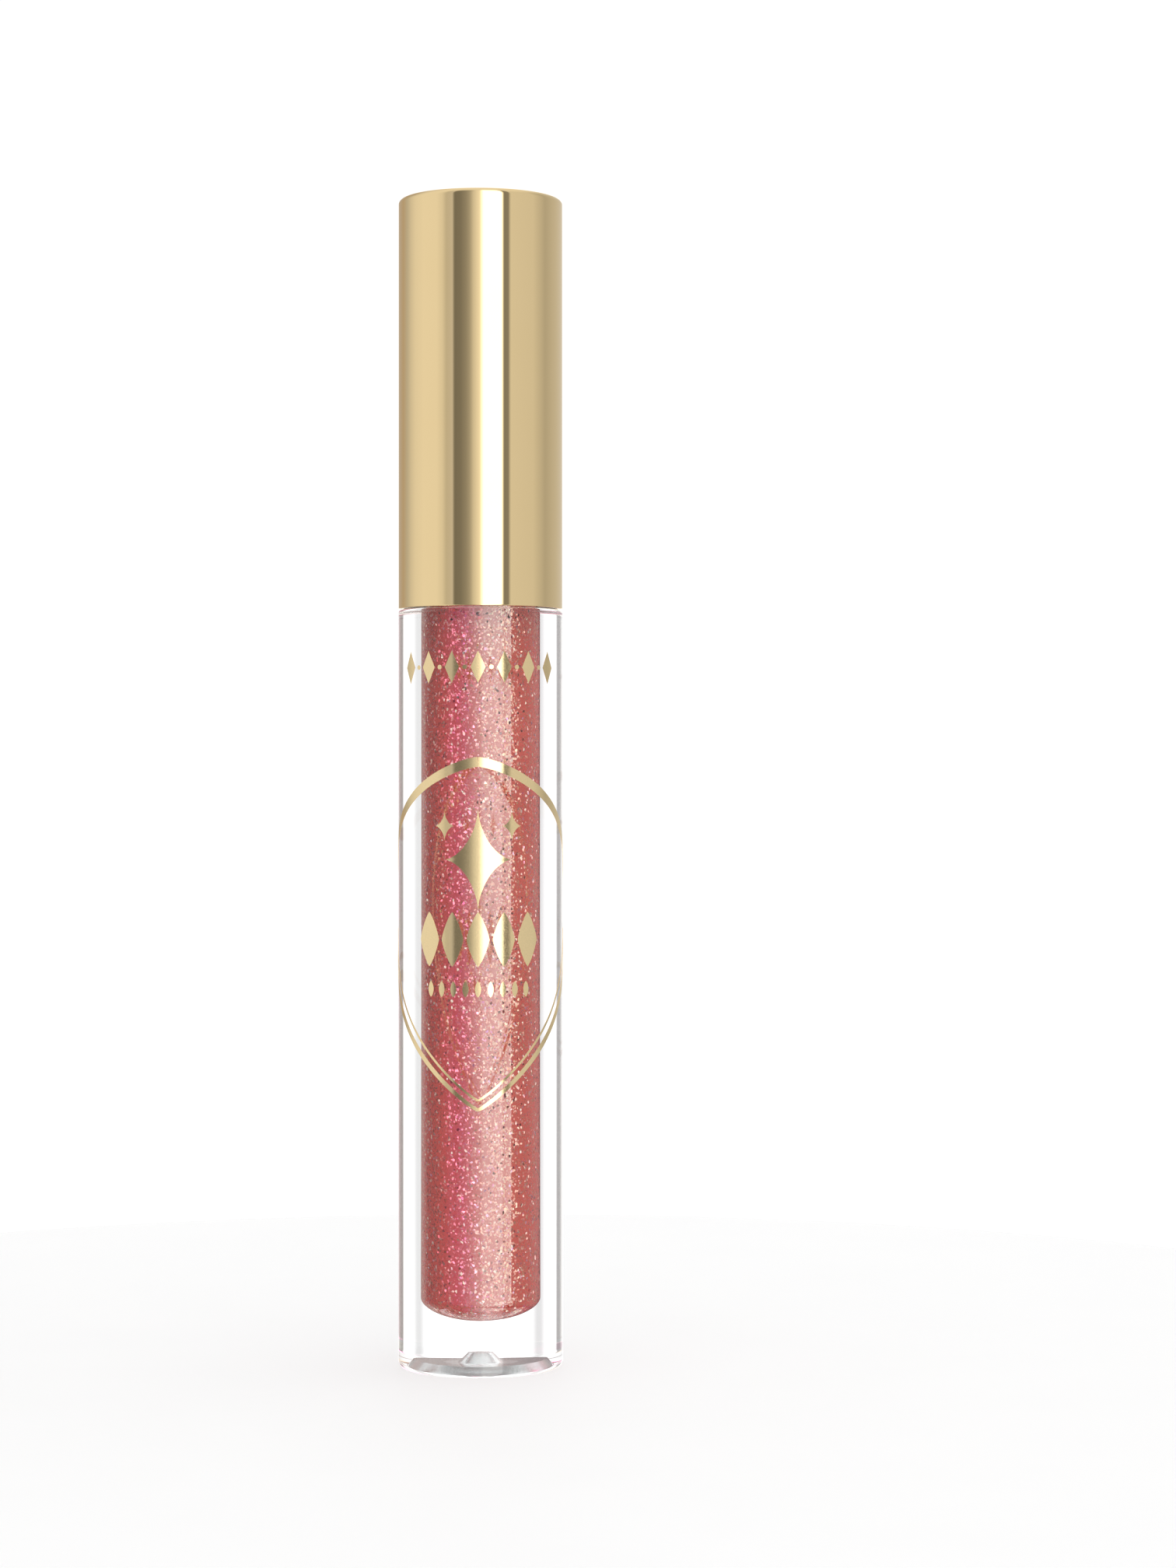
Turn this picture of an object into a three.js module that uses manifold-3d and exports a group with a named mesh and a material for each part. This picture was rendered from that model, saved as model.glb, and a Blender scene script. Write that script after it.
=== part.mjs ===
// Lip gloss tube: a thick-walled clear bottle, and a screw cap that carries the applicator wand.
// Millimetres, +Z up, shown closed. The origin is the centre of the circle the tube stands on.
// Every piece is round about Z, apart from the threads, the inner cap's ribs and the leaning tip.

import * as THREE from 'three';
import { mergeVertices } from 'three/addons/utils/BufferGeometryUtils.js';
import Module from 'manifold-3d';

const wasm = await Module();
wasm.setup();

// ---- Driving dimensions -------------------------------------------------------------------

const TOTAL_HEIGHT = 113.4;
const OUTER_RADIUS = 8.0;

// Clearances between neighbouring pieces
const FIT_GAP = 0.05; // between pieces that are pressed or poured into each other
const RUNNING_GAP = 0.2; // between pieces that turn or lift past each other
const RIM_GAP = 0.1; // between the bottle's shoulder and the cap's rim

// Bottle
const SHOULDER_HEIGHT = 73.5;
const SHOULDER_ROUND = 0.25;
const BASE_ROUND = 0.6;
const PANEL_RADIUS = 4.5; // recessed panel inside the ring that the bottle stands on
const PANEL_DEPTH = 0.75;
const GATE_FOOT_RADIUS = 1.4; // small cone left by the moulding gate
const GATE_TOP_RADIUS = 0.75;
const GATE_HEIGHT = 1.0;
const BORE_RADIUS = 3.66;
const BORE_FLOOR = 4.8;
const BORE_DOME_DEPTH = 2.0;

// Neck of the bottle
const NECK_LENGTH = 12.5;
const NECK_RADIUS = 5.35;
const NECK_FILLET = 0.4;
const NECK_BORE_RADIUS = 3.9;
const NECK_BORE_LENGTH = 9.6;
const NECK_EDGE = 0.3;

// Screw thread, the same helix on the neck and in the inner cap, half a pitch apart
const THREAD_PITCH = 2.6;
const THREAD_TURNS = 1.75;
const THREAD_DEPTH = 0.5;
const THREAD_ROOT_WIDTH = 1.1;
const THREAD_CREST_WIDTH = 0.5;
const THREAD_START = 3.0; // above the shoulder
const THREAD_FADE = 0.12; // share of its length over which each end runs out
const THREAD_CLEARANCE = 0.15;

// Wiper plug in the neck
const WIPER_FLANGE_RADIUS = 5.1;
const WIPER_FLANGE_THICKNESS = 0.6;
const WIPER_WALL = 0.7;
const WIPER_LENGTH = 9.0;
const WIPER_LIP_HEIGHT = 1.7;
const WIPER_LIP_THICKNESS = 0.4;
const WIPER_ORIFICE_GAP = 0.1;

// Gloss
const GLOSS_SURFACE = 75.9;
const GLOSS_GAP = 0.15; // round the wand
const GLOSS_OVER_TIP = 1.0; // height of the gloss's pocket above the top of the tip

// Cap shell
const CAP_RIM_HEIGHT = SHOULDER_HEIGHT + RIM_GAP;
const SHELL_WALL = 0.5;
const SHELL_TOP = 0.6;
const SHELL_ROUND = 0.5;
const SHELL_EDGE = 0.1;

// Inner cap
const INNER_CAP_RECESS = 0.2; // from the shell's rim up to the inner cap's mouth
const INNER_CAP_MOUTH_CHAMFER = 0.5;
const INNER_CAP_WEB = 2.0;
const INNER_CAP_UPPER_WALL = 1.1;
const BOSS_RADIUS = 3.9;
const BOSS_LENGTH = 8.0;
const RIB_COUNT = 4;
const RIB_THICKNESS = 1.0;
const RIB_LENGTH = 6.5;
const RIB_OVERLAP = 0.3;

// Seal ring
const SEAL_THICKNESS = 1.2;
const SEAL_OUTER_RADIUS = 5.0;
const SEAL_INNER_RADIUS = 3.65;
const SEAL_EDGE = 0.25;

// Wand
const ROD_RADIUS = 2.05;
const ROD_EXPOSED_LENGTH = 54.3; // from the cap's rim to the flocked tip
const ROD_END_ROUND = 0.4;
const ROD_COLLAR_RADIUS = 3.35;
const ROD_COLLAR_THICKNESS = 1.0;
const ROD_HEAD_RADIUS = 2.6;
const ROD_HEAD_LENGTH = 9.0;
const ROD_GROOVE_DEPTH = 0.25;
const ROD_GROOVE_WIDTH = 0.8;
const ROD_GROOVE_COUNT = 3;
const ROD_GROOVE_SPACING = 1.9;
const SPIGOT_RADIUS = 1.0;
const SPIGOT_LENGTH = 6.0;

// Applicator tip: it leans towards +X and narrows towards its rounded end
const TIP_LENGTH = 13.2;
const TIP_RADIUS = 2.3;
const TIP_SHOULDER_ROUND = 0.8;
const TIP_END_ROUND = 2.3;
const TIP_LEAN = 0.95;
const TIP_NARROWING_ACROSS = 0.2;
const TIP_NARROWING_DEEP = 0.12;
const FLOCK_THICKNESS = 0.45;

// Fineness of the round surfaces
const SEGMENTS = 48;
const ROD_SEGMENTS = 32;
const ARC_STEPS = 3; // an arc takes twice this many straight steps
const FLOCK_RINGS = 5; // stretches along the flocked sleeve's side
const THREAD_STEPS_PER_TURN = 32;
const MERGE_TOLERANCE = 1e-4;

// ---- Heights worked out from the driving dimensions ----------------------------------------

const NECK_TOP = SHOULDER_HEIGHT + NECK_LENGTH;
const FLANGE_TOP = NECK_TOP + FIT_GAP + WIPER_FLANGE_THICKNESS;
const SEAL_BOTTOM = FLANGE_TOP + RUNNING_GAP;
const INNER_CAP_CEILING = SEAL_BOTTOM + SEAL_THICKNESS + RUNNING_GAP;
const SOCKET_RADIUS = ROD_HEAD_RADIUS + FIT_GAP;
const ROD_END = CAP_RIM_HEIGHT - ROD_EXPOSED_LENGTH;
const TIP_START = ROD_END - FIT_GAP;
const SHELL_CEILING = TOTAL_HEIGHT - SHELL_TOP;
const SHELL_BORE_RADIUS = OUTER_RADIUS - SHELL_WALL;
const INNER_CAP_RADIUS = SHELL_BORE_RADIUS - FIT_GAP;
const NECK_CREST_RADIUS = NECK_RADIUS + THREAD_DEPTH;
const CAP_CREST_RADIUS = NECK_CREST_RADIUS + THREAD_CLEARANCE;
const CAP_ROOT_RADIUS = CAP_CREST_RADIUS + THREAD_DEPTH;

const QUARTER = Math.PI / 2;

// ---- Solids ---------------------------------------------------------------------------------

/** The geometry as bare triangles with shared corners, less any triangle that has no area. */
function weld(geometry) {
  const bare = geometry.clone();
  bare.deleteAttribute('normal');
  bare.deleteAttribute('uv');
  const merged = mergeVertices(bare, MERGE_TOLERANCE);
  const corners = Array.from(merged.index.array);
  const kept = [];
  for (let i = 0; i < corners.length; i += 3) {
    const [a, b, c] = corners.slice(i, i + 3);
    if (a !== b && b !== c && c !== a) {
      kept.push(a, b, c);
    }
  }
  merged.setIndex(kept);
  return merged;
}

/** Turns a profile about Z. The path holds (radius, height), with the material on its left. */
function revolve(profile, segments = SEGMENTS) {
  const turned = new THREE.LatheGeometry(profile.getPoints(ARC_STEPS), segments);
  return weld(turned.rotateX(QUARTER));
}

function toManifold(geometry) {
  const welded = weld(geometry);
  const solid = new wasm.Mesh({
    numProp: 3,
    vertProperties: Float32Array.from(welded.getAttribute('position').array),
    triVerts: Uint32Array.from(welded.index.array),
  });
  return new wasm.Manifold(solid);
}

function fromManifold(solid) {
  const mesh = solid.getMesh();
  const geometry = new THREE.BufferGeometry();
  geometry.setAttribute('position', new THREE.BufferAttribute(mesh.vertProperties, mesh.numProp));
  geometry.setIndex(new THREE.BufferAttribute(mesh.triVerts, 1));
  return geometry;
}

/** One solid made of a body and the pieces that grow out of it. */
function join(body, additions) {
  const joined = additions.reduce((sum, piece) => sum.add(toManifold(piece)), toManifold(body));
  return fromManifold(joined);
}

/**
 * One right-handed screw ridge: a long box bent round the helix. It stands on a round wall and
 * rises to the crest radius, inside or outside the wall, and both its ends run out into the wall.
 */
function threadRidge(wallRadius, crestRadius, startHeight) {
  const steps = Math.round(THREAD_TURNS * THREAD_STEPS_PER_TURN);
  const outward = Math.sign(crestRadius - wallRadius);
  const rootRadius = wallRadius - outward * THREAD_CLEARANCE;
  const ridge = new THREE.BoxGeometry(1, 1, 1, 1, 1, steps);
  const corners = ridge.getAttribute('position');
  for (let i = 0; i < corners.count; i += 1) {
    const along = 0.5 - corners.getZ(i);
    const isCrest = corners.getX(i) * outward > 0;
    const rise = Math.min(1, along / THREAD_FADE, (1 - along) / THREAD_FADE);
    const radius = isCrest ? rootRadius + rise * (crestRadius - rootRadius) : rootRadius;
    const width = isCrest ? THREAD_CREST_WIDTH : THREAD_ROOT_WIDTH;
    const turns = along * THREAD_TURNS;
    const angle = turns * 2 * Math.PI;
    const height = startHeight + turns * THREAD_PITCH + corners.getY(i) * width;
    corners.setXYZ(i, radius * Math.cos(angle), radius * Math.sin(angle), height);
  }
  return ridge;
}

// ---- Bottle side ----------------------------------------------------------------------------

/** Clear bottle: thick wall, narrow domed bore, recessed base panel and threaded neck. */
function bottle() {
  const gateTop = PANEL_DEPTH + GATE_HEIGHT;
  const boreStep = NECK_TOP - NECK_BORE_LENGTH;
  const profile = new THREE.Path();
  profile.moveTo(0, gateTop);
  profile.lineTo(GATE_TOP_RADIUS, gateTop);
  profile.lineTo(GATE_FOOT_RADIUS, PANEL_DEPTH);
  profile.lineTo(PANEL_RADIUS - PANEL_DEPTH / 2, PANEL_DEPTH);
  profile.lineTo(PANEL_RADIUS, 0);
  profile.absarc(OUTER_RADIUS - BASE_ROUND, BASE_ROUND, BASE_ROUND, -QUARTER, 0, false);
  profile.absarc(
    OUTER_RADIUS - SHOULDER_ROUND,
    SHOULDER_HEIGHT - SHOULDER_ROUND,
    SHOULDER_ROUND,
    0,
    QUARTER,
    false,
  );
  profile.absarc(
    NECK_RADIUS + NECK_FILLET,
    SHOULDER_HEIGHT + NECK_FILLET,
    NECK_FILLET,
    -QUARTER,
    -2 * QUARTER,
    true,
  );
  profile.lineTo(NECK_RADIUS, NECK_TOP - NECK_EDGE);
  profile.lineTo(NECK_RADIUS - NECK_EDGE, NECK_TOP);
  profile.lineTo(NECK_BORE_RADIUS, NECK_TOP);
  profile.lineTo(NECK_BORE_RADIUS, boreStep);
  profile.lineTo(BORE_RADIUS, boreStep - (NECK_BORE_RADIUS - BORE_RADIUS));
  profile.absellipse(
    0,
    BORE_FLOOR + BORE_DOME_DEPTH,
    BORE_RADIUS,
    BORE_DOME_DEPTH,
    0,
    -QUARTER,
    true,
  );
  const thread = threadRidge(NECK_RADIUS, NECK_CREST_RADIUS, SHOULDER_HEIGHT + THREAD_START);
  return join(revolve(profile), [thread]);
}

/** Soft plug pushed into the neck. Its lip strips the spare gloss off the wand. */
function wiper() {
  const flangeBottom = NECK_TOP + FIT_GAP;
  const outer = NECK_BORE_RADIUS - FIT_GAP;
  const inner = outer - WIPER_WALL;
  const orifice = ROD_RADIUS + WIPER_ORIFICE_GAP;
  const end = NECK_TOP - WIPER_LENGTH;
  const lipRoot = end + WIPER_LIP_HEIGHT;
  const profile = new THREE.Path();
  profile.moveTo(orifice, end);
  profile.lineTo(orifice + WIPER_LIP_THICKNESS, end);
  profile.lineTo(outer, lipRoot - WIPER_LIP_THICKNESS);
  profile.lineTo(outer, flangeBottom);
  profile.lineTo(WIPER_FLANGE_RADIUS, flangeBottom);
  profile.lineTo(WIPER_FLANGE_RADIUS, FLANGE_TOP);
  profile.lineTo(inner + WIPER_LIP_THICKNESS, FLANGE_TOP);
  profile.lineTo(inner, FLANGE_TOP - WIPER_LIP_THICKNESS);
  profile.lineTo(inner, lipRoot);
  profile.lineTo(orifice, end + WIPER_LIP_THICKNESS);
  profile.closePath();
  return revolve(profile);
}

/** The gloss, standing in the bore round the wand and the tip. */
function glossFill() {
  const outer = BORE_RADIUS - FIT_GAP;
  const roundRod = ROD_RADIUS + GLOSS_GAP;
  const roundTip = TIP_RADIUS + TIP_LEAN;
  const pocketTop = TIP_START + GLOSS_OVER_TIP;
  const pocketFloor = TIP_START - TIP_LENGTH - GLOSS_GAP;
  const domeCentre = BORE_FLOOR + BORE_DOME_DEPTH;
  const profile = new THREE.Path();
  profile.absellipse(0, domeCentre, outer, BORE_DOME_DEPTH - FIT_GAP, -QUARTER, 0, false);
  profile.lineTo(outer, GLOSS_SURFACE);
  profile.lineTo(roundRod, GLOSS_SURFACE);
  profile.lineTo(roundRod, pocketTop);
  profile.lineTo(roundTip, pocketTop - (roundTip - roundRod));
  profile.lineTo(roundTip, domeCentre);
  profile.lineTo(ROD_RADIUS, pocketFloor);
  profile.lineTo(0, pocketFloor);
  return revolve(profile);
}

// ---- Cap side -------------------------------------------------------------------------------

/** Thin bright shell that covers the inner cap. */
function capShell() {
  const boreRound = SHELL_ROUND - SHELL_EDGE;
  const profile = new THREE.Path();
  profile.moveTo(0, SHELL_CEILING);
  profile.lineTo(SHELL_BORE_RADIUS - boreRound, SHELL_CEILING);
  profile.absarc(
    SHELL_BORE_RADIUS - boreRound,
    SHELL_CEILING - boreRound,
    boreRound,
    QUARTER,
    0,
    true,
  );
  profile.lineTo(SHELL_BORE_RADIUS, CAP_RIM_HEIGHT + SHELL_EDGE);
  profile.lineTo(SHELL_BORE_RADIUS + SHELL_EDGE, CAP_RIM_HEIGHT);
  profile.lineTo(OUTER_RADIUS - SHELL_EDGE, CAP_RIM_HEIGHT);
  profile.lineTo(OUTER_RADIUS, CAP_RIM_HEIGHT + SHELL_EDGE);
  profile.absarc(
    OUTER_RADIUS - SHELL_ROUND,
    TOTAL_HEIGHT - SHELL_ROUND,
    SHELL_ROUND,
    0,
    QUARTER,
    false,
  );
  profile.lineTo(0, TOTAL_HEIGHT);
  return revolve(profile);
}

/** One rib between the inner cap's boss and its upper wall. */
function innerCapRib(angle, webTop) {
  const from = BOSS_RADIUS - RIB_OVERLAP;
  const to = INNER_CAP_RADIUS - INNER_CAP_UPPER_WALL + RIB_OVERLAP;
  const rib = new THREE.BoxGeometry(to - from, RIB_THICKNESS, RIB_LENGTH + RIB_OVERLAP);
  rib.translate((from + to) / 2, 0, webTop + (RIB_LENGTH - RIB_OVERLAP) / 2);
  return rib.rotateZ(angle);
}

/** Moulded liner: it holds the thread, the seal ring and the wand's head. */
function innerCap() {
  const mouth = CAP_RIM_HEIGHT + INNER_CAP_RECESS;
  const webTop = INNER_CAP_CEILING + INNER_CAP_WEB;
  const upperRadius = INNER_CAP_RADIUS - INNER_CAP_UPPER_WALL;
  const top = SHELL_CEILING - RUNNING_GAP;
  const topRound = SHELL_ROUND;
  const bossTop = webTop + BOSS_LENGTH;
  const profile = new THREE.Path();
  profile.moveTo(SOCKET_RADIUS, INNER_CAP_CEILING);
  profile.lineTo(CAP_ROOT_RADIUS, INNER_CAP_CEILING);
  profile.lineTo(CAP_ROOT_RADIUS, mouth + INNER_CAP_MOUTH_CHAMFER);
  profile.lineTo(CAP_ROOT_RADIUS + INNER_CAP_MOUTH_CHAMFER, mouth);
  profile.lineTo(INNER_CAP_RADIUS, mouth);
  profile.lineTo(INNER_CAP_RADIUS, top - topRound);
  profile.lineTo(INNER_CAP_RADIUS - topRound, top);
  profile.lineTo(upperRadius, top);
  profile.lineTo(upperRadius, webTop);
  profile.lineTo(BOSS_RADIUS, webTop);
  profile.lineTo(BOSS_RADIUS, bossTop);
  profile.lineTo(SOCKET_RADIUS, bossTop);
  profile.closePath();
  const threadStart = SHOULDER_HEIGHT + THREAD_START + THREAD_PITCH / 2;
  const additions = [threadRidge(CAP_ROOT_RADIUS, CAP_CREST_RADIUS, threadStart)];
  for (let i = 0; i < RIB_COUNT; i += 1) {
    additions.push(innerCapRib((i * 2 * Math.PI) / RIB_COUNT, webTop));
  }
  return join(revolve(profile), additions);
}

/** Soft ring under the inner cap's ceiling, which closes on the wiper's flange. */
function sealRing() {
  const top = SEAL_BOTTOM + SEAL_THICKNESS;
  const profile = new THREE.Path();
  profile.moveTo(SEAL_INNER_RADIUS + SEAL_EDGE, SEAL_BOTTOM);
  profile.lineTo(SEAL_OUTER_RADIUS - SEAL_EDGE, SEAL_BOTTOM);
  profile.lineTo(SEAL_OUTER_RADIUS, SEAL_BOTTOM + SEAL_EDGE);
  profile.lineTo(SEAL_OUTER_RADIUS, top - SEAL_EDGE);
  profile.lineTo(SEAL_OUTER_RADIUS - SEAL_EDGE, top);
  profile.lineTo(SEAL_INNER_RADIUS + SEAL_EDGE, top);
  profile.lineTo(SEAL_INNER_RADIUS, top - SEAL_EDGE);
  profile.lineTo(SEAL_INNER_RADIUS, SEAL_BOTTOM + SEAL_EDGE);
  profile.closePath();
  return revolve(profile);
}

/** Wand: rod with a socket for the tip, a collar under the ceiling and a grooved head above it. */
function wandRod() {
  const collarTop = INNER_CAP_CEILING - FIT_GAP;
  const headTop = INNER_CAP_CEILING + ROD_HEAD_LENGTH;
  const grooveRadius = ROD_HEAD_RADIUS - ROD_GROOVE_DEPTH;
  const socketRadius = SPIGOT_RADIUS + FIT_GAP;
  const profile = new THREE.Path();
  profile.moveTo(0, ROD_END + SPIGOT_LENGTH + FIT_GAP);
  profile.lineTo(socketRadius, ROD_END + SPIGOT_LENGTH + FIT_GAP);
  profile.lineTo(socketRadius, ROD_END);
  profile.absarc(
    ROD_RADIUS - ROD_END_ROUND,
    ROD_END + ROD_END_ROUND,
    ROD_END_ROUND,
    -QUARTER,
    0,
    false,
  );
  profile.lineTo(ROD_RADIUS, collarTop - ROD_COLLAR_THICKNESS);
  profile.lineTo(ROD_COLLAR_RADIUS, collarTop - ROD_COLLAR_THICKNESS);
  profile.lineTo(ROD_COLLAR_RADIUS, collarTop);
  profile.lineTo(ROD_HEAD_RADIUS, collarTop);
  for (let i = 1; i <= ROD_GROOVE_COUNT; i += 1) {
    const grooveBottom = INNER_CAP_CEILING + i * ROD_GROOVE_SPACING;
    profile.lineTo(ROD_HEAD_RADIUS, grooveBottom);
    profile.lineTo(grooveRadius, grooveBottom);
    profile.lineTo(grooveRadius, grooveBottom + ROD_GROOVE_WIDTH);
    profile.lineTo(ROD_HEAD_RADIUS, grooveBottom + ROD_GROOVE_WIDTH);
  }
  profile.lineTo(ROD_HEAD_RADIUS, headTop - ROD_END_ROUND);
  profile.lineTo(ROD_HEAD_RADIUS - ROD_END_ROUND, headTop);
  profile.lineTo(0, headTop);
  return revolve(profile, ROD_SEGMENTS);
}

/** Leans and narrows a round tip: further from the rod, it lies further towards +X. */
function shapeTip(geometry) {
  const corners = geometry.getAttribute('position');
  for (let i = 0; i < corners.count; i += 1) {
    const share = Math.max(0, TIP_START - corners.getZ(i)) / TIP_LENGTH;
    const across = corners.getX(i) * (1 - TIP_NARROWING_ACROSS * share) + TIP_LEAN * share;
    const deep = corners.getY(i) * (1 - TIP_NARROWING_DEEP * share);
    corners.setX(i, across);
    corners.setY(i, deep);
  }
  return geometry;
}

/** Moulded core of the tip, with the spigot that is pressed into the rod. */
function applicatorCore() {
  const inset = FLOCK_THICKNESS + FIT_GAP;
  const radius = TIP_RADIUS - inset;
  const endRound = TIP_END_ROUND - inset;
  const endDepth = TIP_LENGTH - inset;
  const profile = new THREE.Path();
  profile.absellipse(
    0,
    TIP_START - endDepth + endRound,
    radius,
    endRound,
    -QUARTER,
    0,
    false,
  );
  profile.lineTo(radius, TIP_START);
  profile.lineTo(SPIGOT_RADIUS, TIP_START);
  profile.lineTo(SPIGOT_RADIUS, ROD_END + SPIGOT_LENGTH);
  profile.lineTo(0, ROD_END + SPIGOT_LENGTH);
  return shapeTip(revolve(profile, ROD_SEGMENTS));
}

/** Flocked sleeve round the core, open where the rod meets it. */
function applicatorFlock() {
  const inner = TIP_RADIUS - FLOCK_THICKNESS;
  const tipEnd = TIP_START - TIP_LENGTH;
  const innerEndRound = TIP_END_ROUND - FLOCK_THICKNESS;
  const sideEnd = tipEnd + TIP_END_ROUND;
  const sideLength = TIP_START - TIP_SHOULDER_ROUND - sideEnd;
  const profile = new THREE.Path();
  profile.absellipse(0, sideEnd, TIP_RADIUS, TIP_END_ROUND, -QUARTER, 0, false);
  for (let i = 1; i < FLOCK_RINGS; i += 1) {
    profile.lineTo(TIP_RADIUS, sideEnd + (sideLength * i) / FLOCK_RINGS);
  }
  profile.absellipse(
    inner,
    TIP_START - TIP_SHOULDER_ROUND,
    FLOCK_THICKNESS,
    TIP_SHOULDER_ROUND,
    0,
    QUARTER,
    false,
  );
  profile.absellipse(0, sideEnd, inner, innerEndRound, 0, -QUARTER, true);
  return shapeTip(revolve(profile, ROD_SEGMENTS));
}

// ---- Assembly -------------------------------------------------------------------------------

const FINISHES = {
  clearPlastic: { color: 0xf3f5f6, roughness: 0.05, metalness: 0, opacity: 0.35, transparent: true },
  naturalPlastic: { color: 0xeeeeea, roughness: 0.4, metalness: 0 },
  shimmerGloss: { color: 0xbe504b, roughness: 0.2, metalness: 0.2 },
  goldMetal: { color: 0xd9bd82, roughness: 0.12, metalness: 1 },
  darkPlastic: { color: 0x241f1e, roughness: 0.45, metalness: 0 },
  softWhite: { color: 0xe6e4de, roughness: 0.7, metalness: 0 },
  rodPlastic: { color: 0xf6f6f7, roughness: 0.25, metalness: 0 },
  pinkFlock: { color: 0xcd7873, roughness: 0.95, metalness: 0 },
};

const PIECES = [
  ['bottle', bottle(), FINISHES.clearPlastic],
  ['wiper', wiper(), FINISHES.naturalPlastic],
  ['gloss_fill', glossFill(), FINISHES.shimmerGloss],
  ['cap_shell', capShell(), FINISHES.goldMetal],
  ['inner_cap', innerCap(), FINISHES.darkPlastic],
  ['seal_ring', sealRing(), FINISHES.softWhite],
  ['wand_rod', wandRod(), FINISHES.rodPlastic],
  ['applicator_core', applicatorCore(), FINISHES.rodPlastic],
  ['applicator_flock', applicatorFlock(), FINISHES.pinkFlock],
];

const tube = new THREE.Group();
tube.name = 'lip_gloss_tube';
for (const [name, geometry, finish] of PIECES) {
  const piece = new THREE.Mesh(geometry, new THREE.MeshStandardMaterial(finish));
  piece.name = name;
  tube.add(piece);
}

export default tube;
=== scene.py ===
"""Looks of the lip gloss tube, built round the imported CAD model. Metres, +Z up, and the front is -Y."""

import math

import bpy
import numpy as np
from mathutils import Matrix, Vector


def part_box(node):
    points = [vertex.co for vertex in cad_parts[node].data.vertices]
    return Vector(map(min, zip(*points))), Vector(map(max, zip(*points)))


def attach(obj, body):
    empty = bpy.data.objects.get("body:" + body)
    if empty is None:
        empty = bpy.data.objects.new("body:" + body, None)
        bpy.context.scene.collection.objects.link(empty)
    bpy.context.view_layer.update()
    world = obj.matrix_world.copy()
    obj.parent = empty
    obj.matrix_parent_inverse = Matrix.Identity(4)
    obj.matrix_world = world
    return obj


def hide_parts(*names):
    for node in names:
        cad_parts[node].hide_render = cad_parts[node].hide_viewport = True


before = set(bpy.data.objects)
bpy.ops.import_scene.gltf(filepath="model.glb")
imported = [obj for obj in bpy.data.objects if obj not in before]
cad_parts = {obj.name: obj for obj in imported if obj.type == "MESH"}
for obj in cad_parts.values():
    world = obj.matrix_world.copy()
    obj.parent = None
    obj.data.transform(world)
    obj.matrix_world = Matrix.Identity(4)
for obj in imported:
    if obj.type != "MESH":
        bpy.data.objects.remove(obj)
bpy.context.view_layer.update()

# ---- Dimensions, in metres ----------------------------------------------------------------------

MM = 0.001
_, BOTTLE_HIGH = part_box("bottle")
SHELL_LOW, SHELL_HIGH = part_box("cap_shell")
_, GLOSS_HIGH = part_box("gloss_fill")
WIPER_LOW, WIPER_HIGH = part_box("wiper")
SEAL_LOW, SEAL_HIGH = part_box("seal_ring")
LINER_LOW, LINER_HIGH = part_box("inner_cap")
ROD_LOW, ROD_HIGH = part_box("wand_rod")
FLOCK_LOW, FLOCK_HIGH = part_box("applicator_flock")

OUTER_RADIUS = SHELL_HIGH.x
NECK_TOP = BOTTLE_HIGH.z
RIM = SHELL_LOW.z
SHOULDER = RIM - 0.1 * MM
FILM = 0.02 * MM  # how far a piece in contact reaches into the clear wall, so that no air shows

BASE_ROUND = 0.6 * MM
SHOULDER_ROUND = 0.25 * MM
PANEL_RADIUS = 4.5 * MM
PANEL_DEPTH = 0.75 * MM
PANEL_PAINTED_LIGHT_RADIUS = 2.3 * MM  # round the gate, where the base panel is painted paler as painted light
GATE_FOOT_RADIUS = 1.4 * MM
GATE_TOP_RADIUS = 0.75 * MM
GATE_HEIGHT = 1.0 * MM
BORE_RADIUS = 3.66 * MM
BORE_FLOOR = 4.8 * MM
BORE_DOME_DEPTH = 2.0 * MM
NECK_RADIUS = 5.35 * MM
NECK_FILLET = 0.4 * MM
NECK_EDGE = 0.3 * MM
NECK_BORE_RADIUS = 3.9 * MM
NECK_BORE_STEP = NECK_TOP - 9.6 * MM

THREAD_PITCH = 2.6 * MM
THREAD_TURNS = 1.75
THREAD_DEPTH = 0.5 * MM
THREAD_CLEARANCE = 0.15 * MM
THREAD_ROOT_WIDTH = 1.1 * MM
THREAD_CREST_WIDTH = 0.5 * MM
THREAD_START = SHOULDER + 3.0 * MM
THREAD_FADE = 0.12
LINER_ROOT_RADIUS = NECK_RADIUS + 2 * THREAD_DEPTH + THREAD_CLEARANCE

SHELL_WALL = 0.5 * MM
SHELL_TOP = 0.6 * MM
SHELL_ROUND = 0.5 * MM
LINER_CEILING = SEAL_HIGH.z + 0.2 * MM
FIT_GAP = 0.05 * MM  # between pieces that are pressed into each other
BOSS_RADIUS = 3.9 * MM
BOSS_LENGTH = 8.0 * MM
RIB_COUNT = 4
RIB_THICKNESS = 1.0 * MM
RIB_HEIGHT = 6.2 * MM
RIB_OVERLAP = 0.3 * MM
ROD_HEAD_RADIUS = 2.6 * MM
ROD_END_ROUND = 0.4 * MM

GLOSS_GAP = 0.15 * MM  # round the wand
MENISCUS = 0.25 * MM
WIPER_WALL = 0.75 * MM
WIPER_LIP_HEIGHT = 1.7 * MM
WIPER_LIP_THICKNESS = 0.4 * MM
WIPER_ORIFICE_GAP = 0.1 * MM

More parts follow.
